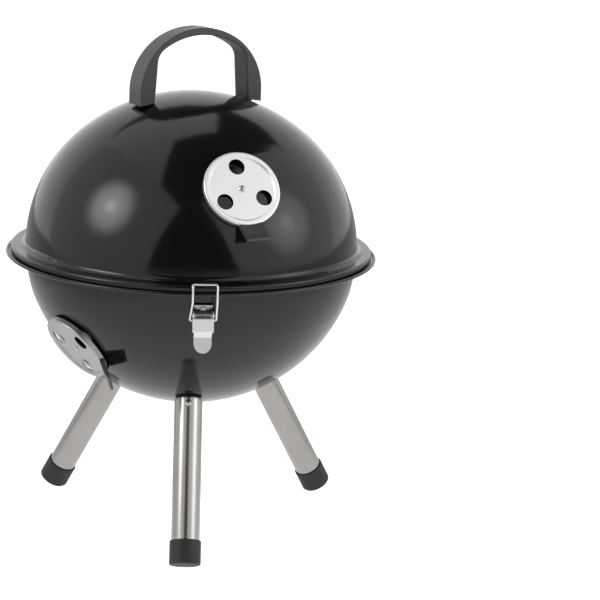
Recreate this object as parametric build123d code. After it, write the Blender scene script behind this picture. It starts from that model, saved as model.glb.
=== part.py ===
from build123d import *
import os
from math import asin, atan2, cos, degrees, hypot, pi, radians, sin, sqrt

# A small kettle charcoal grill: an enamelled bowl on three splayed tube legs, a domed
# lid held down by two toggle latches, a vent damper in each shell, and two grates.
# Millimetres and degrees. The kettle's axis is Z and the floor is z = 0. An azimuth is
# measured from the front (-Y) towards +X.

# ---- Driving dimensions -------------------------------------------------------------
sheet = 1.0                     # enamelled steel of the lid and the bowl

# Bowl: a knuckle arc down from the mouth, then a flatter crown arc at the bottom
bowl_wall_radius = 151.2
bowl_depth = 135.6
bowl_knuckle_radius = 105.9
bowl_mouth_z = 251.95
bowl_flange_top = 255.0
bowl_flange_bend = 2.5          # outside bend between the wall and the flange
bead_radius = 1.4               # rolled edge of the flange
bead_outer_radius = 170.0

# Lid: the same construction, turned up
lid_wall_radius = 152.4
lid_height = 143.1
lid_knuckle_radius = 137.5
lid_base_z = 260.3
lid_flange_top = 262.0
lid_flange_bend = 5.0
lid_lip_outer_radius = 165.7
lid_lip_corner = 2.0

# Lid handle: a flat-sided arch, turned about the kettle's axis
handle_yaw = 29.0
handle_half_width = 62.0
handle_depth = 24.0
handle_top_z = 462.0
handle_spring_z = 405.0         # where the sides end and the elliptical arch begins
handle_top_thickness = 6.5
handle_foot_thickness = 14.4
handle_foot_slope = 9.0
handle_crown_radius = 69.0      # underside of the grip
handle_inner_lean = 4.5         # the opening is this much narrower at the top, each side
handle_edge = 1.3
handle_opening_corner = 15.0
handle_screw_offset = 52.5
handle_boss_radius = 5.5
handle_screw_depth = 13.0       # how far the shank reaches out of the lid
handle_screw_head = (4.6, 3.0)  # radius and height
handle_washer_radius = 7.5
handle_washer_thickness = 1.0

# Legs: tubes that splay outwards, each over a stub welded to the bowl
leg_azimuths = {"front": 0.4, "right": 120.4, "left": 240.4}
leg_splay = 29.8
leg_foot_radius = 150.4
leg_tube_radius = 12.7
leg_tube_wall = 1.2
leg_top = 149.1                 # tube's upper end, measured along the leg from the floor end
leg_top_round = 0.4
stub_length_inside = 30.0
stub_wall = 1.6
stub_clearance = 0.1
leg_screw_below_top = 5.5
leg_screw_radius = 2.0
leg_screw_head = (2.9, 1.9)
leg_screw_length = 6.0

# Rubber foot caps
cap_radius = 14.0
cap_length = 21.5
cap_floor = 2.2
cap_edge = 1.5
cap_mouth_edge = 0.5
cap_flat_depth = 0.7            # how far the corner that stands on the floor is flattened

# Vent dampers: the same part on the lid and on the bowl
damper_radius = 34.0
damper_plate = 0.8
damper_hole_radius = 7.15
damper_hole_circle = 20.5
damper_skirt = 4.0
damper_bore = 2.58
damper_shank_radius = 2.5
damper_screw_head = (3.3, 2.0)
damper_screw_tail = 6.0         # shank beyond the inside of the shell
damper_spacer_radius = 7.0
damper_nut_flats = 8.0
damper_nut_height = 4.0
damper_hole_overlap = 0.4       # a shell's air hole is this much smaller than the disc's
shank_clearance = 0.1           # round every screw that passes through a plain hole
damper_spacer = 1.5
damper_gap = 0.1                # end play each side of the disc
tab_slope = 30.0                # how far the tab leans out of the disc's plane
tab_width = 20.0
tab_length = 19.5
lid_vent = {"azimuth": 18.4, "elevation": 34.0, "tab_turn": 4.0}
bowl_vent = {"azimuth": -51.0, "elevation": -34.7, "tab_turn": 66.0}

# Toggle latches, at the front and opposite it
latch_azimuths = {"front": 4.1, "rear": 184.1}
latch_sheet = 1.2
latch_mid_z = 232.2             # middle of the base plate on the bowl's wall
latch_plate_half_length = 11.4
latch_base_half_width = 7.9
latch_ear_outer = 7.2
latch_rivet_offset = 7.0        # each side of the base plate's middle
latch_pivot = (155.0, 235.0)    # lever pivot, as radius and height
latch_pivot_radius = 1.4
latch_pin_head = (2.2, 0.6)
rivet_radius = 1.6
rivet_clearance = 0.1
rivet_head = (2.8, 1.4)
rivet_tail = (2.6, 1.2)
rivet_grip_play = 0.45
lever_half_width = 9.05
thumb_half_width = 7.7
lever_bends = [(157.3, 231.2), (157.8, 220.2), (153.6, 214.2), (159.6, 202.6)]
bail_wire_radius = 0.85
bail_pin = (152.6, 229.0)       # where the bail's ends turn in the lever
bail_knee = (171.3, 249.2)
bail_shoulder = (171.3, 263.2)
bail_bar = (165.2, 263.2)
bail_half_width = 10.4
bail_pin_half_width = 11.4
bail_bend = 1.6

# Grates
grate_bracket_width = 14.0
grate_bracket_sheet = 1.5
grate_bracket_web = 14.0
grate_bracket_toe = 6.0         # shelf that reaches past the web
cooking_shelf_z = 233.5
cooking_ring_radius = 144.0
cooking_ring_wire = 2.5
cooking_rod_wire = 1.5
cooking_rod_pitch = 13.0
cooking_bearer_y = 45.0
grate_weld_inset = 1.0          # wires end this far inside the ring's centre line
cooking_bracket_azimuths = (30, 150, 270)
grate_grip_height = 17.0
grate_grip_wire = 2.0
grate_grip_bend = 5.0
charcoal_shelf_z = 168.0
charcoal_ring_radius = 98.0
charcoal_wire = 2.0
charcoal_rod_pitch = 12.0
charcoal_bracket_azimuths = (0, 120, 240)


# ---- Helpers ------------------------------------------------------------------------
def turned(shape, azimuth):
    """A shape modelled at the front, carried round to an azimuth."""
    return Rot(0, 0, azimuth) * shape


def profile(face):
    """A face drawn as (radius, height), stood up in the plane that contains the axis."""
    return Plane.XZ * face


def front_section(face, half_width):
    """A face drawn as (radius, height) in the front radial plane, made into a solid."""
    plane = Plane(origin=(0, 0, 0), x_dir=(0, -1, 0), z_dir=(-1, 0, 0))
    return extrude(plane * face, amount=half_width, both=True)


def across(radius_height, radius, low_x, high_x):
    """A pin along X at the front, through the point (radius, height)."""
    distance, height = radius_height
    centre = ((low_x + high_x) / 2, -distance, height)
    return Pos(*centre) * Rot(0, 90, 0) * Cylinder(radius, high_x - low_x)


def polygon(*points):
    return make_face(Polyline(*points, close=True))


def bent_wire(points, bend, wire_radius):
    """Round wire along straight runs, with an arc of radius bend at each corner."""
    path = FilletPolyline(*points, radius=bend)
    start = Plane(origin=path @ 0, z_dir=path % 0)
    return sweep(start * Circle(wire_radius), path=path)


def crown_of(wall_radius, height, knuckle_radius):
    """Radius and centre height of the crown arc that is tangent to the knuckle arc."""
    offset = wall_radius - knuckle_radius
    radius = (offset**2 + height**2 - knuckle_radius**2) / (2 * (height - knuckle_radius))
    return radius, height - radius


def dome_edges(base_z, up, wall_radius, height, knuckle_radius, inset, start_z):
    """Knuckle and crown arcs from the height start_z to the axis, inset from the outside."""
    crown_radius, crown_centre = crown_of(wall_radius, height, knuckle_radius)
    offset = wall_radius - knuckle_radius
    knuckle = knuckle_radius - inset
    crown = crown_radius - inset
    first = asin(up * (start_z - base_z) / knuckle)
    joint = atan2(-crown_centre, offset)

    def on_knuckle(angle):
        return offset + knuckle * cos(angle), base_z + up * knuckle * sin(angle)

    def on_crown(angle):
        return crown * cos(angle), base_z + up * (crown_centre + crown * sin(angle))

    return [
        ThreePointArc(on_knuckle(first), on_knuckle((first + joint) / 2), on_knuckle(joint)),
        ThreePointArc(on_crown(joint), on_crown((joint + pi / 2) / 2), on_crown(pi / 2)),
    ]


def lid_dome(inset):
    start = lid_flange_top + lid_flange_bend
    return dome_edges(lid_base_z, 1, lid_wall_radius, lid_height, lid_knuckle_radius, inset, start)


def bowl_dome(inset):
    start = bowl_flange_top - sheet - bowl_flange_bend
    return dome_edges(
        bowl_mouth_z, -1, bowl_wall_radius, bowl_depth, bowl_knuckle_radius, inset, start
    )


def filled(arcs):
    """The solid of revolution between a dome's arcs and the axis."""
    rim = arcs[0] @ 0
    top = arcs[1] @ 1
    closing = [Line(top, (0, rim.Y)), Line((0, rim.Y), rim)]
    return revolve(profile(make_face(arcs + closing)), Axis.Z)


def vent_plane(vent, arc_radius, arc_offset, arc_z):
    """Frame of a damper on a shell's arc: z out of the shell, x along the tab."""
    azimuth = radians(vent["azimuth"])
    elevation = radians(vent["elevation"])
    outward = Vector(sin(azimuth), -cos(azimuth), 0)
    normal = outward * cos(elevation) + Vector(0, 0, sin(elevation))
    point = outward * arc_offset + Vector(0, 0, arc_z) + normal * arc_radius
    uphill = Vector(0, 0, 1) - normal * normal.Z
    uphill = uphill.normalized()
    rightwards = uphill.cross(normal)
    turn = radians(vent["tab_turn"])
    tab = rightwards * sin(turn) - uphill * cos(turn)
    lift = damper_spacer + damper_gap
    return Plane(origin=point + normal * lift, x_dir=tab, z_dir=normal)


lid_vent_plane = vent_plane(
    lid_vent, lid_knuckle_radius, lid_wall_radius - lid_knuckle_radius, lid_base_z
)
bowl_crown_radius, bowl_crown_centre = crown_of(bowl_wall_radius, bowl_depth, bowl_knuckle_radius)
bowl_vent_plane = vent_plane(bowl_vent, bowl_crown_radius, 0, bowl_mouth_z - bowl_crown_centre)


def vent_cuts(plane):
    """The pivot hole and three air holes, which the disc covers when it is shut."""
    reach = 30
    cuts = [plane * Cylinder(damper_shank_radius + shank_clearance, reach)]
    for angle in (0, 120, 240):
        spot = Rot(0, 0, angle) * Pos(damper_hole_circle, 0, 0)
        cuts.append(plane * spot * Cylinder(damper_hole_radius - damper_hole_overlap, reach))
    return cuts


# ---- Lid ----------------------------------------------------------------------------
def make_lid_shell():
    outer = lid_dome(0)
    inner = lid_dome(sheet)
    outer_start = outer[0] @ 0
    inner_start = inner[0] @ 0
    bend_centre = (outer_start.X + lid_flange_bend, outer_start.Y)
    slant = sqrt(0.5)
    flange_bottom = lid_flange_top - sheet
    lip_inner = lid_lip_outer_radius - sheet

    def bend(start, radius, low):
        middle = (bend_centre[0] - radius * slant, bend_centre[1] - radius * slant)
        return ThreePointArc(start, middle, (bend_centre[0], low))

    corner = lid_lip_corner
    centre = (lid_lip_outer_radius - corner, lid_flange_top - corner)
    inside = corner - sheet
    edges = outer + [Line(outer[1] @ 1, inner[1] @ 1)] + inner
    edges += [
        bend(outer_start, lid_flange_bend, lid_flange_top),
        Line((bend_centre[0], lid_flange_top), (centre[0], lid_flange_top)),
        ThreePointArc(
            (centre[0], lid_flange_top),
            (centre[0] + corner * slant, centre[1] + corner * slant),
            (lid_lip_outer_radius, centre[1]),
        ),
        Line((lid_lip_outer_radius, centre[1]), (lid_lip_outer_radius, bowl_flange_top)),
        Line((lid_lip_outer_radius, bowl_flange_top), (lip_inner, bowl_flange_top)),
        Line((lip_inner, bowl_flange_top), (lip_inner, centre[1])),
        ThreePointArc(
            (lip_inner, centre[1]),
            (centre[0] + inside * slant, centre[1] + inside * slant),
            (centre[0], flange_bottom),
        ),
        Line((centre[0], flange_bottom), (bend_centre[0], flange_bottom)),
        bend(inner_start, lid_flange_bend + sheet, flange_bottom),
    ]
    shell = revolve(profile(make_face(edges)), Axis.Z)
    shell -= vent_cuts(lid_vent_plane)
    for plane in handle_screw_planes():
        shell -= plane * Cylinder(damper_shank_radius + shank_clearance, 20)
    return shell


def handle_screw_planes():
    """Frames of the two handle screws: square to the lid's crown, z out of the lid."""
    crown_radius, crown_centre = crown_of(lid_wall_radius, lid_height, lid_knuckle_radius)
    lean = asin(handle_screw_offset / crown_radius)
    height = lid_base_z + crown_centre + crown_radius * cos(lean)
    planes = []
    for side in (-1, 1):
        azimuth = radians(handle_yaw)
        outward = Vector(cos(azimuth), sin(azimuth), 0) * side
        origin = outward * handle_screw_offset + Vector(0, 0, height)
        normal = outward * sin(lean) + Vector(0, 0, cos(lean))
        planes.append(Plane(origin=origin, x_dir=(-sin(azimuth), cos(azimuth), 0), z_dir=normal))
    return planes


def make_lid_handle():
    crown_radius, crown_centre = crown_of(lid_wall_radius, lid_height, lid_knuckle_radius)
    inner_foot = handle_half_width - handle_foot_thickness
    foot_z = lid_base_z + crown_centre + sqrt(crown_radius**2 - inner_foot**2)
    drop = handle_foot_thickness * sin(radians(handle_foot_slope))
    rise = handle_top_z - handle_spring_z
    arch = Pos(0, handle_spring_z) * Ellipse(handle_half_width, rise)
    sides = polygon(
        (-handle_half_width, handle_spring_z),
        (-handle_half_width, foot_z - drop),
        (-inner_foot, foot_z),
        (inner_foot, foot_z),
        (handle_half_width, foot_z - drop),
        (handle_half_width, handle_spring_z),
    )
    below = Pos(0, handle_spring_z - rise) * Rectangle(3 * handle_half_width, 2 * rise)
    underside = handle_top_z - handle_top_thickness
    top_half = inner_foot - handle_inner_lean
    opening = polygon(
        (-inner_foot - 0.5, foot_z - 5),
        (-top_half, handle_top_z),
        (top_half, handle_top_z),
        (inner_foot + 0.5, foot_z - 5),
    )
    crown = Pos(0, underside - handle_crown_radius) * Circle(handle_crown_radius)
    opening &= crown
    opening = fillet(opening.vertices().group_by(Axis.Y)[-1], handle_opening_corner)
    outline = (arch - below) + sides - opening
    blank = extrude(Plane.XZ * outline, amount=handle_depth / 2, both=True)
    rims = blank.faces().filter_by(Axis.Y).edges()
    long_rims = [edge for edge in rims if edge.center().Z > foot_z + 1]
    handle = Rot(0, 0, handle_yaw) * fillet(long_rims, handle_edge)
    for plane in handle_screw_planes():
        handle += plane * Pos(0, 0, 2) * Cylinder(handle_boss_radius, 10)
    handle -= filled(lid_dome(0))
    for plane in handle_screw_planes():
        handle -= plane * Pos(0, 0, 6) * Cylinder(damper_shank_radius, 18)
    return handle


def pan_head(radius, height):
    """A domed screw head standing on z = 0, with a cross recess."""
    crown = (radius**2 + height**2) / (2 * height)
    head = Pos(0, 0, height - crown) * Sphere(crown)
    head &= Pos(0, 0, height / 2) * Cylinder(radius, height)
    for turn in (0, 90):
        head -= Rot(0, 0, turn) * Pos(0, 0, height) * Box(radius * 1.1, 0.7, height)
    return head


def make_handle_screws():
    screws = []
    for plane in handle_screw_planes():
        seat = -sheet - 0.3 - handle_washer_thickness
        length = handle_screw_depth - seat
        shank = Pos(0, 0, seat + length / 2) * Cylinder(damper_shank_radius, length)
        head = Pos(0, 0, seat) * Rot(180, 0, 0) * pan_head(*handle_screw_head)
        screws.append(plane * (shank + head))
    return Compound(screws)


def make_handle_washers():
    washers = []
    for plane in handle_screw_planes():
        ring = Cylinder(handle_washer_radius, handle_washer_thickness)
        ring -= Cylinder(damper_shank_radius + shank_clearance, handle_washer_thickness)
        washers.append(plane * Pos(0, 0, -sheet - 0.3 - handle_washer_thickness / 2) * ring)
    return Compound(washers)


# ---- Bowl ---------------------------------------------------------------------------
def make_bowl_shell():
    outer = bowl_dome(0)
    inner = bowl_dome(sheet)
    outer_start = outer[0] @ 0
    inner_start = inner[0] @ 0
    flange_bottom = bowl_flange_top - sheet
    slant = sqrt(0.5)
    centre = (outer_start.X + bowl_flange_bend, outer_start.Y)
    wide_bend = flange_bottom + sheet - outer_start.Y
    bead_centre = bead_outer_radius - bead_radius
    edges = outer + [Line(outer[1] @ 1, inner[1] @ 1)] + inner
    edges += [
        ThreePointArc(
            outer_start,
            (centre[0] - bowl_flange_bend * slant, centre[1] + bowl_flange_bend * slant),
            (centre[0], flange_bottom),
        ),
        Line((centre[0], flange_bottom), (bead_centre, flange_bottom)),
        Line((bead_centre, flange_bottom), (bead_centre, bowl_flange_top)),
        Line((bead_centre, bowl_flange_top), (centre[0], bowl_flange_top)),
        ThreePointArc(
            (centre[0], bowl_flange_top),
            (centre[0] - wide_bend * slant, centre[1] + wide_bend * slant),
            inner_start,
        ),
    ]
    section = make_face(edges)
    section += Pos(bead_centre, flange_bottom + bead_radius) * Circle(bead_radius)
    shell = revolve(profile(section), Axis.Z)
    shell -= vent_cuts(bowl_vent_plane)
    for azimuth in latch_azimuths.values():
        for along in (-latch_rivet_offset, latch_rivet_offset):
            hole = latch_normal(along) * Cylinder(rivet_radius + rivet_clearance, 12)
            shell -= turned(hole, azimuth)
    return shell


def make_brackets(azimuths, shelf_z, reach_radius):
    """Angle brackets welded inside the bowl, whose shelves carry a grate."""
    thick = grate_bracket_sheet
    outside = bowl_wall_radius
    shelf = polygon(
        (reach_radius, shelf_z),
        (outside, shelf_z),
        (outside, shelf_z - thick),
        (reach_radius, shelf_z - thick),
    )
    web = polygon(
        (reach_radius + grate_bracket_toe, shelf_z),
        (outside, shelf_z),
        (outside, shelf_z - grate_bracket_web),
    )
    blank = front_section(shelf, grate_bracket_width / 2)
    blank += front_section(web, thick / 2)
    blank &= filled(bowl_dome(sheet))
    return Compound([turned(blank, azimuth) for azimuth in azimuths])


# ---- Legs ---------------------------------------------------------------------------
def leg_plane(azimuth):
    """Frame of a leg: z up along the tube, x along the kettle's tangent, y inwards."""
    splay = radians(leg_splay)
    turn = radians(azimuth)
    outward = Vector(sin(turn), -cos(turn), 0)
    lowest = (cap_radius - cap_edge) * sin(splay) + cap_edge - cap_edge * cos(splay)
    foot = outward * leg_foot_radius + Vector(0, 0, lowest - cap_flat_depth)
    along = outward * -sin(splay) + Vector(0, 0, cos(splay))
    return Plane(origin=foot, x_dir=(cos(turn), sin(turn), 0), z_dir=along)


def tube(outer, inner, low, high):
    ring = Cylinder(outer, high - low) - Cylinder(inner, high - low)
    return Pos(0, 0, (low + high) / 2) * ring


def leg_screw_hole():
    height = leg_top - leg_screw_below_top
    drill = Cylinder(leg_screw_radius + shank_clearance, leg_screw_length + 2)
    return Pos(0, -leg_tube_radius, height) * Rot(90, 0, 0) * drill


def make_leg_tube(azimuth):
    body = tube(leg_tube_radius, leg_tube_radius - leg_tube_wall, cap_floor, leg_top)
    ends = body.edges().filter_by(GeomType.CIRCLE).group_by(Axis.Z)[-1]
    body = fillet(ends.sort_by(SortBy.RADIUS)[-1], leg_top_round)
    return leg_plane(azimuth) * (body - leg_screw_hole())


def make_leg_stub(azimuth):
    outer = leg_tube_radius - leg_tube_wall - stub_clearance
    body = tube(outer, outer - stub_wall, leg_top - stub_length_inside, leg_top + 25)
    placed = leg_plane(azimuth) * (body - leg_screw_hole())
    return (placed - filled(bowl_dome(0))).solids().sort_by(Axis.Z)[0]


def make_leg_screw(azimuth):
    height = leg_top - leg_screw_below_top
    shank = Pos(0, 0, -leg_screw_length / 2) * Cylinder(leg_screw_radius, leg_screw_length)
    screw = pan_head(*leg_screw_head) + shank
    return leg_plane(azimuth) * Pos(0, -leg_tube_radius, height) * Rot(90, 0, 0) * screw


def make_foot_cap(azimuth):
    body = Pos(0, 0, cap_length / 2) * Cylinder(cap_radius, cap_length)
    body = fillet(body.edges().group_by(Axis.Z)[0], cap_edge)
    body = fillet(body.edges().group_by(Axis.Z)[-1], cap_mouth_edge)
    hollow = cap_length - cap_floor
    body -= Pos(0, 0, cap_floor + hollow / 2) * Cylinder(leg_tube_radius, hollow)
    floor_cut = Pos(0, 0, -50) * Box(1000, 1000, 100)
    return leg_plane(azimuth) * body - floor_cut


# ---- Vent dampers -------------------------------------------------------------------
def make_damper_disc():
    """Pressed disc in its own frame: underside on z = 0, tab along +X, shut position."""
    step = 1.2
    skirt_inner = damper_radius - damper_plate
    top = damper_plate + step
    corner = 1.4
    slant = sqrt(0.5)
    ring_start = damper_radius - 4.0
    slope = 1.4
    outer_centre = (damper_radius - corner, top - corner)
    inside = corner - damper_plate
    outline = [
        Polyline(
            (outer_centre[0], top),
            (ring_start, top),
            (ring_start - slope, damper_plate),
            (damper_bore, damper_plate),
            (damper_bore, 0),
            (ring_start - slope + 0.35, 0),
            (ring_start + 0.35, step),
            (outer_centre[0], step),
        ),
        ThreePointArc(
            (outer_centre[0], step),
            (outer_centre[0] + inside * slant, outer_centre[1] + inside * slant),
            (skirt_inner, outer_centre[1]),
        ),
        Polyline(
            (skirt_inner, outer_centre[1]),
            (skirt_inner, -damper_skirt + damper_plate),
            (damper_radius, -damper_skirt + damper_plate),
            (damper_radius, outer_centre[1]),
        ),
        ThreePointArc(
            (damper_radius, outer_centre[1]),
            (outer_centre[0] + corner * slant, outer_centre[1] + corner * slant),
            (outer_centre[0], top),
        ),
    ]
    edges = [edge for part in outline for edge in part.edges()]
    disc = revolve(profile(make_face(edges)), Axis.Z)
    for angle in (60, 180, 300):
        disc -= Rot(0, 0, angle) * Pos(damper_hole_circle, 0, 0) * Cylinder(damper_hole_radius, 6)
    lug = tab_place() * Pos(6.5, 0, 0) * Box(15, 12, 1.0)
    lug -= Cylinder(skirt_inner + 0.2, 20)
    return disc + lug


def tab_place():
    """Frame of the tab in the disc's frame: x out along the tab, z square to it."""
    return Pos(damper_radius - 0.4, 0, -0.2) * Rot(0, -tab_slope, 0)


def make_damper_grip(disc):
    """Moulded sleeve on the disc's lug, thick at its root and thin at its tip."""
    root = 2.2
    tip = 1.2
    side = polygon(
        (-1.5, -root),
        (-1.5, root),
        (tab_length - 6, 1.9),
        (tab_length, tip),
        (tab_length, -tip),
        (tab_length - 6, -1.9),
    )
    blank = extrude(Plane.XZ * side, amount=tab_width / 2, both=True)
    blank = fillet(blank.edges().filter_by(Axis.Y), 0.5)
    grip = tab_place() * blank
    grip -= Cylinder(damper_radius + 0.05, 20)
    grip -= disc
    return grip.solids().sort_by(SortBy.VOLUME)[-1]


def make_damper_screw():
    seat = damper_plate + damper_gap
    low = -damper_spacer - damper_gap - sheet - damper_screw_tail
    shank = Pos(0, 0, (seat + low) / 2) * Cylinder(damper_shank_radius, seat - low)
    return shank + Pos(0, 0, seat) * pan_head(*damper_screw_head)


def make_damper_spacer():
    ring = Cylinder(damper_spacer_radius, damper_spacer)
    ring -= Cylinder(damper_shank_radius + shank_clearance, damper_spacer)
    return Pos(0, 0, -damper_gap - damper_spacer / 2) * ring


def make_damper_nut():
    hexagon = RegularPolygon(damper_nut_flats / 2, 6, major_radius=False)
    nut = extrude(hexagon, amount=damper_nut_height) - Cylinder(damper_shank_radius, 20)
    top = -damper_spacer - damper_gap - sheet - 0.1
    return Pos(0, 0, top - damper_nut_height) * nut


# ---- Latches, modelled at the front -------------------------------------------------
def latch_wall():
    """Point where the base plate touches the wall, and the wall's slope there."""
    offset = bowl_wall_radius - bowl_knuckle_radius
    tilt = asin((bowl_mouth_z - latch_mid_z) / bowl_knuckle_radius)
    return offset + bowl_knuckle_radius * cos(tilt), tilt


def on_plate(along, out):
    """(radius, height) of a point up along the base plate and out from the wall."""
    radius, tilt = latch_wall()
    return (
        radius + along * sin(tilt) + out * cos(tilt),
        latch_mid_z + along * cos(tilt) - out * sin(tilt),
    )


def latch_normal(along):
    """Frame on the base plate's inner face: z out of the wall."""
    radius, tilt = latch_wall()
    distance, height = on_plate(along, 0)
    return Plane(origin=(0, -distance, height), x_dir=(1, 0, 0), z_dir=(0, -cos(tilt), -sin(tilt)))


def make_latch_base():
    half = latch_plate_half_length
    plate = polygon(
        on_plate(-half, 0),
        on_plate(-half, latch_sheet),
        on_plate(half - latch_sheet, latch_sheet),
        on_plate(half - latch_sheet, 3.0),
        on_plate(half, 3.0),
        on_plate(half, 0),
    )
    base = front_section(plate, latch_base_half_width)
    ear = polygon(
        on_plate(-half + 2, 0.6),
        on_plate(7, 0.6),
        (latch_pivot[0] + 0.6, latch_pivot[1] + 2.9),
        (latch_pivot[0] + 2.9, latch_pivot[1]),
        (latch_pivot[0] + 0.4, latch_pivot[1] - 2.9),
    )
    ear += Pos(*latch_pivot) * Circle(2.95)
    wide = front_section(ear, latch_ear_outer)
    wide -= front_section(ear, latch_ear_outer - latch_sheet)
    base += wide
    base -= across(latch_pivot, latch_pivot_radius + 0.05, -20, 20)
    for along in (-latch_rivet_offset, latch_rivet_offset):
        base -= latch_normal(along) * Cylinder(rivet_radius + rivet_clearance, 12)
    return base


def make_latch_rivets():
    """Two domed rivets through the base plate and the bowl's wall."""
    rivets = []
    head_radius, head_height = rivet_head
    tail_height = rivet_tail[1]
    dome = Sphere(head_radius) & Pos(0, 0, head_height / 2) * Cylinder(head_radius, head_height)
    for along in (-latch_rivet_offset, latch_rivet_offset):
        length = latch_sheet + sheet + rivet_grip_play
        shank = Pos(0, 0, latch_sheet - length / 2) * Cylinder(rivet_radius, length)
        head = Pos(0, 0, latch_sheet) * dome
        tail = Pos(0, 0, latch_sheet - length - tail_height / 2) * Cylinder(*rivet_tail)
        rivets.append(latch_normal(along) * (shank + head + tail))
    return rivets


def make_latch_pin():
    outer = lever_half_width + 0.1
    pin = across(latch_pivot, latch_pivot_radius, -outer, outer)
    head_radius, head_height = latch_pin_head
    pin += across(latch_pivot, head_radius, outer, outer + head_height)
    pin += across(latch_pivot, head_radius, -outer - head_height, -outer)
    return pin


def bent_strip(points, thickness):
    """Outline of a bent sheet: a round-ended strip for each straight run."""
    strip = None
    for (x0, y0), (x1, y1) in zip(points, points[1:]):
        length = hypot(x1 - x0, y1 - y0)
        angle = degrees(atan2(y1 - y0, x1 - x0))
        middle = Pos((x0 + x1) / 2, (y0 + y1) / 2) * Rot(0, 0, angle)
        piece = middle * SlotCenterToCenter(length, thickness)
        strip = piece if strip is None else strip + piece
    return strip


def make_latch_lever():
    top, heel, waist, tip = lever_bends
    plate = front_section(bent_strip([top, heel], latch_sheet), lever_half_width)
    thumb = front_section(bent_strip([heel, waist, tip], latch_sheet), thumb_half_width)
    round_z = tip[1] - latch_sheet / 2 + thumb_half_width
    front = Pos(0, round_z) * Circle(thumb_half_width)
    front += Pos(0, round_z + 15) * Rectangle(2 * thumb_half_width, 30)
    thumb &= extrude(Plane.XZ * front, amount=300)
    cheek = polygon(
        (top[0], top[1] + 0.4),
        (heel[0], heel[1]),
        (heel[0] - 4.5, heel[1] + 2.5),
        (bail_pin[0] - 1.9, bail_pin[1] - 1.0),
        (bail_pin[0] - 1.9, bail_pin[1] + 1.2),
        (latch_pivot[0] - 2.4, latch_pivot[1] + 1.8),
        (latch_pivot[0] + 1.2, latch_pivot[1] + 2.6),
    )
    cheek += Pos(*latch_pivot) * Circle(2.8)
    cheek += Pos(*bail_pin) * Circle(2.0)
    cheeks = front_section(cheek, lever_half_width)
    cheeks -= front_section(cheek, lever_half_width - latch_sheet)
    lever = plate + thumb + cheeks
    lever -= across(latch_pivot, latch_pivot_radius + 0.08, -20, 20)
    lever -= across(bail_pin, bail_wire_radius + 0.08, -20, 20)
    return lever


def make_latch_bail():
    def place(x, radius_height):
        return x, -radius_height[0], radius_height[1]

    inner = lever_half_width - latch_sheet - 0.25
    right = [
        place(inner, bail_pin),
        place(bail_pin_half_width, bail_pin),
        place(bail_half_width, bail_knee),
        place(bail_half_width, bail_shoulder),
        place(bail_half_width, bail_bar),
    ]
    left = [(-x, y, z) for x, y, z in reversed(right)]
    return bent_wire(right + left, bail_bend, bail_wire_radius)


# ---- Grates -------------------------------------------------------------------------
def rod(start, end, radius):
    run = Line(start, end)
    return sweep(Plane(origin=start, z_dir=run % 0) * Circle(radius), path=run)


def grate_wires(ring_radius, ring_wire, rod_wire, pitch, ring_z, rod_z, bearers):
    """A ring, the parallel rods welded across it, and bearers under the rods."""
    ring = Pos(0, 0, ring_z) * Torus(ring_radius, ring_wire)
    reach = ring_radius - grate_weld_inset
    count = int((ring_radius - rod_wire) // pitch)
    rods = []
    for index in range(-count, count + 1):
        x = index * pitch
        half = sqrt(reach**2 - x**2)
        rods.append(rod((x, -half, rod_z), (x, half, rod_z), rod_wire))
    bearer_z = rod_z - rod_wire - ring_wire + 0.3
    bars = []
    for y in bearers:
        half = sqrt(reach**2 - y**2)
        bars.append(rod((-half, y, bearer_z), (half, y, bearer_z), ring_wire))
    return ring, rods, bars


def largest(shape):
    return shape.solids().sort_by(SortBy.VOLUME)[-1]


def make_cooking_grate():
    """The ring, and the rods and bearers cut to fit it and each other."""
    ring_z = cooking_shelf_z + cooking_ring_wire
    ring, rods, bars = grate_wires(
        cooking_ring_radius, cooking_ring_wire, cooking_rod_wire, cooking_rod_pitch,
        ring_z, ring_z + 1.0, (-cooking_bearer_y, cooking_bearer_y),
    )
    bars = [largest(bar - ring) for bar in bars]
    rods = [largest(wire - ring - bars) for wire in rods]
    return ring, Compound(rods + bars)


def make_grate_grips(rods):
    """Two wire loops that stand on the grate's outer rods, to lift it by."""
    grips = []
    base = cooking_shelf_z + cooking_ring_wire + 1.0 + cooking_rod_wire - 0.3
    for side in (-1, 1):
        x = side * 9 * cooking_rod_pitch
        points = [
            (x, -22, base),
            (x, -20, base + grate_grip_height),
            (x, 20, base + grate_grip_height),
            (x, 22, base),
        ]
        grips.append(largest(bent_wire(points, grate_grip_bend, grate_grip_wire) - rods))
    return Compound(grips)


def make_charcoal_grate():
    ring_z = charcoal_shelf_z + charcoal_wire
    ring, rods, bars = grate_wires(
        charcoal_ring_radius, charcoal_wire, charcoal_wire, charcoal_rod_pitch,
        ring_z, ring_z + 1.5, (0,),
    )
    return ring + rods + bars


# ---- Assembly -----------------------------------------------------------------------
def damper_parts(name, plane):
    disc = make_damper_disc()
    return {
        f"{name}_damper_disc": plane * disc,
        f"{name}_damper_grip": plane * make_damper_grip(disc),
        f"{name}_damper_screw": plane * make_damper_screw(),
        f"{name}_damper_spacer": plane * make_damper_spacer(),
        f"{name}_damper_nut": plane * make_damper_nut(),
    }


def latch_parts():
    parts = {}
    rivets = []
    for name, azimuth in latch_azimuths.items():
        parts[f"{name}_latch_base"] = turned(make_latch_base(), azimuth)
        parts[f"{name}_latch_pin"] = turned(make_latch_pin(), azimuth)
        parts[f"{name}_latch_lever"] = turned(make_latch_lever(), azimuth)
        parts[f"{name}_latch_bail"] = turned(make_latch_bail(), azimuth)
        rivets += [turned(rivet, azimuth) for rivet in make_latch_rivets()]
    parts["latch_rivets"] = Compound(rivets)
    return parts


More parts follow.
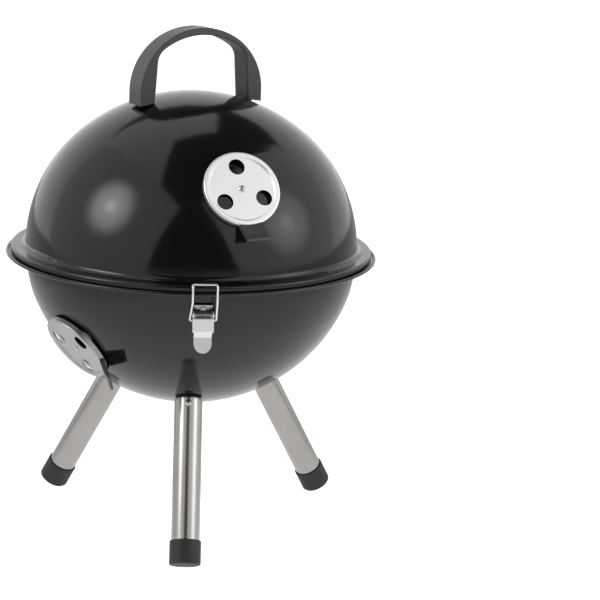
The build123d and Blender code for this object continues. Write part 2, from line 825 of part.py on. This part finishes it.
def leg_parts():
    parts = {}
    for name, azimuth in leg_azimuths.items():
        parts[f"{name}_leg_tube"] = make_leg_tube(azimuth)
        parts[f"{name}_leg_stub"] = make_leg_stub(azimuth)
        parts[f"{name}_foot_cap"] = make_foot_cap(azimuth)
    parts["leg_screws"] = Compound([make_leg_screw(turn) for turn in leg_azimuths.values()])
    return parts


def all_parts():
    cooking_reach = cooking_ring_radius - 5
    charcoal_reach = charcoal_ring_radius - 4
    cooking_ring, cooking_rods = make_cooking_grate()
    parts = {
        "bowl_shell": make_bowl_shell(),
        "lid_shell": make_lid_shell(),
        "lid_handle": make_lid_handle(),
        "handle_screws": make_handle_screws(),
        "handle_washers": make_handle_washers(),
        "cooking_grate": cooking_ring,
        "cooking_grate_rods": cooking_rods,
        "cooking_grate_grips": make_grate_grips(cooking_rods),
        "charcoal_grate": make_charcoal_grate(),
        "cooking_grate_brackets": make_brackets(
            cooking_bracket_azimuths, cooking_shelf_z, cooking_reach
        ),
        "charcoal_grate_brackets": make_brackets(
            charcoal_bracket_azimuths, charcoal_shelf_z, charcoal_reach
        ),
    }
    parts.update(leg_parts())
    parts.update(latch_parts())
    parts.update(damper_parts("lid", lid_vent_plane))
    parts.update(damper_parts("bowl", bowl_vent_plane))
    return parts


os.makedirs("parts", exist_ok=True)
for name, shape in all_parts().items():
    export_step(shape, f"parts/{name}.step")
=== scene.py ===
from math import atan2, cos, radians, sin, tau

import bpy
from mathutils import Matrix, Vector


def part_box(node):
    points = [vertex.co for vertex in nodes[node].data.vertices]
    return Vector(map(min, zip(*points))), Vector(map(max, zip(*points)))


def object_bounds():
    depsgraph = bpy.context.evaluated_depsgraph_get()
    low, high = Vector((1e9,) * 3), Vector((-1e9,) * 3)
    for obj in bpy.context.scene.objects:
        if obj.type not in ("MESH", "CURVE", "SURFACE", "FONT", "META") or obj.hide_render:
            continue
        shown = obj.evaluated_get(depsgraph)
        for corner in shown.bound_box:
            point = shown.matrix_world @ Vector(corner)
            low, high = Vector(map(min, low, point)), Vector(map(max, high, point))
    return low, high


# Looks of a small kettle charcoal grill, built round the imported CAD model. Metres.
# The kettle's axis is Z, the floor is z = 0 and the front is -Y.

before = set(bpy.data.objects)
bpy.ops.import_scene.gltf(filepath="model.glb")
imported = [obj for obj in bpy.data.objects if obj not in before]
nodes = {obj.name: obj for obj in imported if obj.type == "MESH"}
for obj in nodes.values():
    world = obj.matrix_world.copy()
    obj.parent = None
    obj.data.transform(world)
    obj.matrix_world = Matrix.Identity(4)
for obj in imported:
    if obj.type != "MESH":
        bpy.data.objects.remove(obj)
cad_low, cad_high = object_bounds()

# ---- Driving values -----------------------------------------------------------------
# The camera: where it stands, where it looks and how far it is rolled.
camera_place = Vector((0, -1.725, 0.640))
camera_yaw = radians(3.38)              # looks a little to the right of the kettle
camera_pitch = radians(13.93)           # and down
camera_roll = radians(2.33)
camera_lens = 114.5                     # mm
camera_sensor = 36                      # mm wide
camera_nearest = 0.05
camera_farthest = 50

# The studio: a white floor and backdrop for the camera, and what the kettle reflects.
backdrop_radius = 4.2
backdrop_height = 4.0
backdrop_glow = 1.0
floor_glow = 0.96
room_grey = 0.07                        # the unlit room that the dark enamel reflects
rear_glow = 0.62                        # the pale wall behind, seen in the kettle's edges
wall_steps = 64
mirror_floor_drop = 0.002               # keeps the reflected floor under the visible one
panel_distance = 1.6                    # from the middle of the kettle's box
overhead_height = 2.03

# Each light is brightest at a centre and fades outwards, as (metres, radiance).
floor_centre = (0.15, -0.35)
floor_rings = [(0, 1.05), (0.45, 1.0), (0.9, 0.8), (1.4, 0.45), (4, 0.4)]
left_centre = (0.1, 0.13)
left_rings = [(0, 7.6), (0.2, 4.4), (0.6, 0.82), (2, 0.75)]
right_centre = (0, -0.22)
right_rings = [(0, 3.6), (0.3, 2.2), (0.7, 0.95), (2, 0.9)]
overhead_centre = (-0.3, 0.5)
overhead_rings = [(0, 2.9), (0.5, 2.3), (1.1, 1.4), (2.4, 0.9)]

# The overhead sheet seen from above. Its bent right edge shows in the dome.
overhead_outline = [
    (-2.0, -1.5),
    (-0.9, -1.5),
    (-0.4, -0.2),
    (-0.3, 0.2),
    (0.3, 0.5),
    (0.3, 1.35),
    (-2.0, 1.35),
]


# ---- Node helpers -------------------------------------------------------------------
class Shader:
    """A material's node tree, with short calls for what the materials below share."""

    def __init__(self, name):
        self.material = bpy.data.materials.new(name)
        self.material.use_nodes = True
        self.tree = self.material.node_tree
        self.surface = self.tree.nodes["Principled BSDF"]
        self.place = self.add("ShaderNodeTexCoord").outputs["Object"]

    def add(self, kind, **settings):
        node = self.tree.nodes.new(kind)
        for key, value in settings.items():
            setattr(node, key, value)
        return node

    def link(self, output, node, socket):
        self.tree.links.new(output, node.inputs[socket])

    def set(self, socket, value):
        """A constant value on one of the surface's own sockets."""
        self.surface.inputs[socket].default_value = value

    def mapped(self, turn=(0, 0, 0), stretch=(1, 1, 1)):
        """Object coordinates turned and then stretched, for grain that runs one way."""
        spin = self.add("ShaderNodeMapping", vector_type="TEXTURE")
        spin.inputs["Rotation"].default_value = turn
        self.link(self.place, spin, "Vector")
        scale = self.add("ShaderNodeMapping", vector_type="POINT")
        scale.inputs["Scale"].default_value = stretch
        self.link(spin.outputs["Vector"], scale, "Vector")
        return scale.outputs["Vector"]

    def noise(self, scale, detail=4, roughness=0.5, where=None):
        node = self.add("ShaderNodeTexNoise")
        node.inputs["Scale"].default_value = scale
        node.inputs["Detail"].default_value = detail
        node.inputs["Roughness"].default_value = roughness
        self.link(where or self.place, node, "Vector")
        return node.outputs["Fac"]

    def spread(self, value, low, high, from_low=0.3, from_high=0.7):
        """A noise value remapped to low..high."""
        node = self.add("ShaderNodeMapRange")
        node.inputs["From Min"].default_value = from_low
        node.inputs["From Max"].default_value = from_high
        node.inputs["To Min"].default_value = low
        node.inputs["To Max"].default_value = high
        self.link(value, node, "Value")
        return node.outputs["Result"]

    def tint(self, value, dark, light):
        """A noise value turned into a colour between dark and light."""
        node = self.add("ShaderNodeMix", data_type="RGBA")
        node.inputs["A"].default_value = (*dark, 1)
        node.inputs["B"].default_value = (*light, 1)
        self.link(value, node, "Factor")
        return node.outputs["Result"]

    def bump(self, height, depth, before=None):
        """Relief of the given depth in metres, on top of an earlier bump if there is one."""
        node = self.add("ShaderNodeBump")
        node.inputs["Strength"].default_value = 1.0
        node.inputs["Distance"].default_value = depth
        self.link(height, node, "Height")
        if before:
            self.link(before, node, "Normal")
        return node.outputs["Normal"]

    def finish(self, colour=None, roughness=None, normal=None):
        if colour:
            self.link(colour, self.surface, "Base Color")
        if roughness:
            self.link(roughness, self.surface, "Roughness")
        if normal:
            self.link(normal, self.surface, "Normal")
        return self.material


def dress(material, *names):
    """Give CAD nodes a material through their own slots."""
    for name in names:
        data = nodes[name].data
        if not data.materials:
            data.materials.append(material)
        for index in range(len(data.materials)):
            data.materials[index] = material


# ---- Materials ----------------------------------------------------------------------
def enamel():
    """Black porcelain enamel: a deep gloss with a slight ripple and fine orange peel."""
    shader = Shader("black_enamel")
    shader.set("IOR", 1.5)
    blotch = shader.noise(scale=9, detail=3)
    peel = shader.noise(scale=420, detail=3)
    ripple = shader.noise(scale=45, detail=2)
    relief = shader.bump(ripple, depth=0.00012)
    relief = shader.bump(peel, depth=0.000012, before=relief)
    return shader.finish(
        colour=shader.tint(blotch, dark=(0.0016, 0.0018, 0.0026), light=(0.0034, 0.0037, 0.0048)),
        roughness=shader.spread(blotch, low=0.1, high=0.15),
        normal=relief,
    )


def drawn_tube(name, azimuth, splay):
    """Stainless tube: fine lines along its length, which leans by splay at an azimuth."""
    shader = Shader(name)
    shader.set("Metallic", 1.0)
    along = shader.mapped(turn=(-splay, 0, azimuth), stretch=(2400, 2400, 14))
    lines = shader.noise(scale=1, detail=4, roughness=0.6, where=along)
    smudge = shader.noise(scale=38, detail=4)
    return shader.finish(
        colour=shader.tint(smudge, dark=(0.36, 0.347, 0.333), light=(0.45, 0.435, 0.42)),
        roughness=shader.spread(lines, low=0.16, high=0.27),
        normal=shader.bump(lines, depth=0.000012),
    )


def pressed_sheet(name, dark, light):
    """Satin sheet of the dampers, with a faint spun grain and handling marks."""
    shader = Shader(name)
    shader.set("Metallic", 1.0)
    grain = shader.noise(scale=900, detail=5, roughness=0.7)
    smudge = shader.noise(scale=55, detail=4)
    return shader.finish(
        colour=shader.tint(smudge, dark, light),
        roughness=shader.spread(smudge, low=0.3, high=0.42),
        normal=shader.bump(grain, depth=0.00001),
    )


def plated(name, dark, light, smooth, scuffed):
    """Bright plated steel with fine scuffs, for latches, wire and fasteners."""
    shader = Shader(name)
    shader.set("Metallic", 1.0)
    scuff = shader.noise(scale=1, detail=5, roughness=0.7, where=shader.mapped(stretch=(1500, 1500, 160)))
    smudge = shader.noise(scale=140, detail=4)
    return shader.finish(
        colour=shader.tint(smudge, dark, light),
        roughness=shader.spread(scuff, low=smooth, high=scuffed),
        normal=shader.bump(scuff, depth=0.000008),
    )


def moulded():
    """Black moulded plastic: a fine spark-eroded grain under a soft sheen."""
    shader = Shader("moulded_plastic")
    shader.set("IOR", 1.5)
    grain = shader.noise(scale=2600, detail=2)
    patch = shader.noise(scale=24, detail=3)
    return shader.finish(
        colour=shader.tint(patch, dark=(0.034, 0.034, 0.038), light=(0.048, 0.048, 0.053)),
        roughness=shader.spread(patch, low=0.3, high=0.42),
        normal=shader.bump(grain, depth=0.00002),
    )


def rubber():
    """Soft black rubber, dull and a little dusty."""
    shader = Shader("foot_rubber")
    grain = shader.noise(scale=1500, detail=4, roughness=0.6)
    dust = shader.noise(scale=70, detail=5, roughness=0.65)
    return shader.finish(
        colour=shader.tint(dust, dark=(0.006, 0.006, 0.0065), light=(0.014, 0.014, 0.015)),
        roughness=shader.spread(dust, low=0.5, high=0.68),
        normal=shader.bump(grain, depth=0.00004),
    )


def black_steel():
    """Satin black paint on the leg stubs and the grate brackets."""
    shader = Shader("black_steel")
    grain = shader.noise(scale=1100, detail=4)
    return shader.finish(
        colour=shader.tint(grain, dark=(0.008, 0.008, 0.009), light=(0.016, 0.016, 0.017)),
        roughness=shader.spread(grain, low=0.32, high=0.45),
        normal=shader.bump(grain, depth=0.00002),
    )


def leg_direction(name):
    """Azimuth and splay of a leg tube, from the boxes of its cap and its stub."""
    low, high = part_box(f"{name}_foot_cap")
    foot = (low + high) / 2
    low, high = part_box(f"{name}_leg_stub")
    lean = foot - (low + high) / 2
    flat = Vector((lean.x, lean.y))
    return -Vector((0, -1)).angle_signed(flat), atan2(flat.length, -lean.z)


def dress_shells_and_handle():
    dress(enamel(), "bowl_shell", "lid_shell")
    dress(moulded(), "lid_handle", "lid_damper_grip", "bowl_damper_grip")


def dress_dampers_and_fasteners():
    """The bowl's damper sheet is painted darker than the lid's, as painted shade for the shaded floor
    under the kettle that it reflects. All the screws and nuts are zinc plated.
    """
    clean = pressed_sheet("damper_sheet", dark=(0.88, 0.88, 0.88), light=(0.97, 0.97, 0.97))
    # painted shade: the bowl's damper sheet gets a darker colour than the lid's, standing in for the
    # shaded floor it reflects
    painted_shade_sheet = pressed_sheet(
        "bowl_damper_painted_shade", dark=(0.34, 0.335, 0.33), light=(0.52, 0.515, 0.51)
    )
    dress(clean, "lid_damper_disc")
    dress(painted_shade_sheet, "bowl_damper_disc")
    zinc = plated(
        "fastener_steel", dark=(0.5, 0.5, 0.5), light=(0.64, 0.64, 0.64), smooth=0.24, scuffed=0.38
    )
    dress(zinc, "handle_screws", "handle_washers", "leg_screws")
    for shell in ("lid", "bowl"):
        dress(zinc, *[f"{shell}_damper_{part}" for part in ("screw", "spacer", "nut")])


def dress_latches():
    """Bright levers and bails. The base plates, pins and rivets are painted darker, as painted shade for
    the recess between the lever's cheeks that they sit in.
    """
    bright = plated(
        "latch_steel", dark=(0.9, 0.89, 0.87), light=(0.98, 0.97, 0.95), smooth=0.42, scuffed=0.56
    )
    # painted shade: the base plates, pins and rivets get a darker steel colour for the shade in the
    # lever's recess
    painted_shade_base = plated(
        "latch_base_painted_shade", dark=(0.26, 0.25, 0.24), light=(0.42, 0.41, 0.4), smooth=0.18, scuffed=0.3
    )
    dress(painted_shade_base, "latch_rivets")
    for side in ("front", "rear"):
        dress(bright, f"{side}_latch_lever", f"{side}_latch_bail")
        dress(painted_shade_base, f"{side}_latch_base", f"{side}_latch_pin")


def dress_grates_and_legs():
    wire = plated(
        "grate_wire", dark=(0.6, 0.6, 0.6), light=(0.74, 0.74, 0.74), smooth=0.16, scuffed=0.3
    )
    dress(wire, "cooking_grate", "cooking_grate_rods", "cooking_grate_grips", "charcoal_grate")
    black = black_steel()
    dress(black, "cooking_grate_brackets", "charcoal_grate_brackets")
    foot = rubber()
    for side in ("front", "right", "left"):
        dress(drawn_tube(f"{side}_leg_steel", *leg_direction(side)), f"{side}_leg_tube")
        dress(black, f"{side}_leg_stub")
        dress(foot, f"{side}_foot_cap")


# ---- Studio -------------------------------------------------------------------------
def white(name, strength):
    """A pale matte stage surface that also gives off some light of its own."""
    material = bpy.data.materials.new(name)
    material.use_nodes = True
    surface = material.node_tree.nodes["Principled BSDF"]
    surface.inputs["Base Color"].default_value = (0.8, 0.8, 0.8, 1)
    surface.inputs["Roughness"].default_value = 0.9
    surface.inputs["Emission Color"].default_value = (1, 1, 1, 1)
    surface.inputs["Emission Strength"].default_value = strength
    return material


def soft_light(name, rings, centre):
    """Light that varies with the distance from a centre: rings are (metres, radiance)."""
    material = bpy.data.materials.new(name)
    material.use_nodes = True
    tree = material.node_tree
    tree.nodes.clear()
    reach = rings[-1][0]
    peak = max(radiance for _, radiance in rings)

    def grey(radiance):
        level = radiance / peak
        return level, level, level, 1

    place = tree.nodes.new("ShaderNodeTexCoord")
    spot = tree.nodes.new("ShaderNodeMapping")
    spot.inputs["Location"].default_value = (-centre[0] / reach, -centre[1] / reach, 0)
    spot.inputs["Scale"].default_value = (1 / reach, 1 / reach, 1 / reach)
    ball = tree.nodes.new("ShaderNodeTexGradient")
    ball.gradient_type = "SPHERICAL"
    ramp = tree.nodes.new("ShaderNodeValToRGB")
    ramp.color_ramp.interpolation = "EASE"
    stops = ramp.color_ramp.elements
    for radius, radiance in rings[1:-1]:
        stops.new(1 - radius / reach).color = grey(radiance)
    stops[0].color = grey(rings[-1][1])
    stops[-1].color = grey(rings[0][1])
    light = tree.nodes.new("ShaderNodeEmission")
    light.inputs["Strength"].default_value = peak
    out = tree.nodes.new("ShaderNodeOutputMaterial")
    tree.links.new(place.outputs["Object"], spot.inputs["Vector"])
    tree.links.new(spot.outputs["Vector"], ball.inputs["Vector"])
    tree.links.new(ball.outputs["Fac"], ramp.inputs["Fac"])
    tree.links.new(ramp.outputs["Color"], light.inputs["Color"])
    tree.links.new(light.outputs["Emission"], out.inputs["Surface"])
    return material


def stage_mesh(name, verts, faces, material, seen_by):
    """A stage surface that only the named kinds of ray can see."""
    data = bpy.data.meshes.new(name)
    data.from_pydata(verts, [], faces)
    data.materials.append(material)
    made = bpy.data.objects.new(name, data)
    bpy.context.scene.collection.objects.link(made)
    for ray in ("camera", "diffuse", "glossy", "transmission", "shadow"):
        setattr(made, f"visible_{ray}", ray in seen_by)
    return made


def rectangle(low_x, high_x, low_y, high_y, z=0):
    return [(low_x, low_y, z), (high_x, low_y, z), (high_x, high_y, z), (low_x, high_y, z)]


def arc_wall(name, first, last, radius, material, seen_by):
    """A standing wall on part of a circle round the kettle, angles from +X."""
    verts = []
    for index in range(wall_steps + 1):
        angle = first + (last - first) * index / wall_steps
        x = radius * cos(angle)
        y = radius * sin(angle)
        verts += [(x, y, 0), (x, y, backdrop_height)]
    corners = range(0, 2 * wall_steps, 2)
    faces = [(corner, corner + 2, corner + 3, corner + 1) for corner in corners]
    stage_mesh(name, verts, faces, material, seen_by)


def panel(name, azimuth, elevation, width, height, light):
    """A soft panel that faces the kettle. Azimuth 0 is the front, 90 is +X."""
    verts = rectangle(-width / 2, width / 2, -height / 2, height / 2)
    made = stage_mesh(name, verts, [(0, 1, 2, 3)], light, ("diffuse", "glossy", "shadow"))
    around = radians(azimuth)
    above = radians(elevation)
    towards = Vector((sin(around) * cos(above), -cos(around) * cos(above), sin(above)))
    made.location = (cad_low + cad_high) / 2 + towards * panel_distance
    made.rotation_mode = "QUATERNION"
    made.rotation_quaternion = towards.to_track_quat("Z", "Y")


def build_floor_and_walls():
    """What the camera sees round the kettle, and what the kettle reflects in its place."""
    size = backdrop_radius
    face = [(0, 1, 2, 3)]
    for_camera = ("camera",)
    for_mirrors = ("glossy",)
    floor = rectangle(-size, size, -size, size)
    pale = white("floor_white", floor_glow)
    stage_mesh("floor", floor, face, pale, ("camera", "diffuse", "shadow"))
    arc_wall("backdrop", 0, tau, size, white("backdrop_white", backdrop_glow), for_camera)
    arc_wall("rear_wall", 0, tau / 2, size, white("rear_wall_grey", rear_glow), for_mirrors)
    pool = soft_light("floor_pool", floor_rings, floor_centre)
    mirror_floor = rectangle(-size, size, -size, size, -mirror_floor_drop)
    stage_mesh("mirror_floor", mirror_floor, face, pool, for_mirrors)


def build_lights():
    """A soft panel on either side and a sheet overhead, all out of the camera's sight."""
    left = soft_light("left_light", left_rings, left_centre)
    right = soft_light("right_light", right_rings, right_centre)
    panel("panel_left", azimuth=-69, elevation=27, width=3.1, height=2.1, light=left)
    panel("panel_right", azimuth=70, elevation=30, width=3.1, height=2.2, light=right)
    overhead = soft_light("overhead_light", overhead_rings, overhead_centre)
    verts = [(x, y, overhead_height) for x, y in overhead_outline]
    face = [tuple(range(len(verts)))]
    stage_mesh("overhead", verts, face, overhead, ("diffuse", "glossy", "shadow"))


def build_room():
    world = bpy.data.worlds.new("room")
    world.use_nodes = True
    background = world.node_tree.nodes["Background"]
    background.inputs["Color"].default_value = (1, 1, 1, 1)
    background.inputs["Strength"].default_value = room_grey
    bpy.context.scene.world = world
    bpy.context.scene.view_settings.view_transform = "Standard"


def build_camera():
    """A camera that looks along its yaw and pitch, rolled about its own axis."""
    across = Vector((cos(camera_yaw), -sin(camera_yaw), 0))
    ahead = Vector(
        (
            sin(camera_yaw) * cos(camera_pitch),
            cos(camera_yaw) * cos(camera_pitch),
            -sin(camera_pitch),
        )
    )
    above = across.cross(ahead)
    right = across * cos(camera_roll) + above * sin(camera_roll)
    up = above * cos(camera_roll) - across * sin(camera_roll)
    turn = Matrix((right, up, -ahead)).transposed()
    data = bpy.data.cameras.new("camera")
    data.lens = camera_lens
    data.sensor_width = camera_sensor
    data.clip_start = camera_nearest
    data.clip_end = camera_farthest
    made = bpy.data.objects.new("camera", data)
    bpy.context.scene.collection.objects.link(made)
    made.matrix_world = Matrix.Translation(camera_place) @ turn.to_4x4()
    bpy.context.scene.camera = made


dress_shells_and_handle()
dress_dampers_and_fasteners()
dress_latches()
dress_grates_and_legs()
build_floor_and_walls()
build_lights()
build_room()
build_camera()
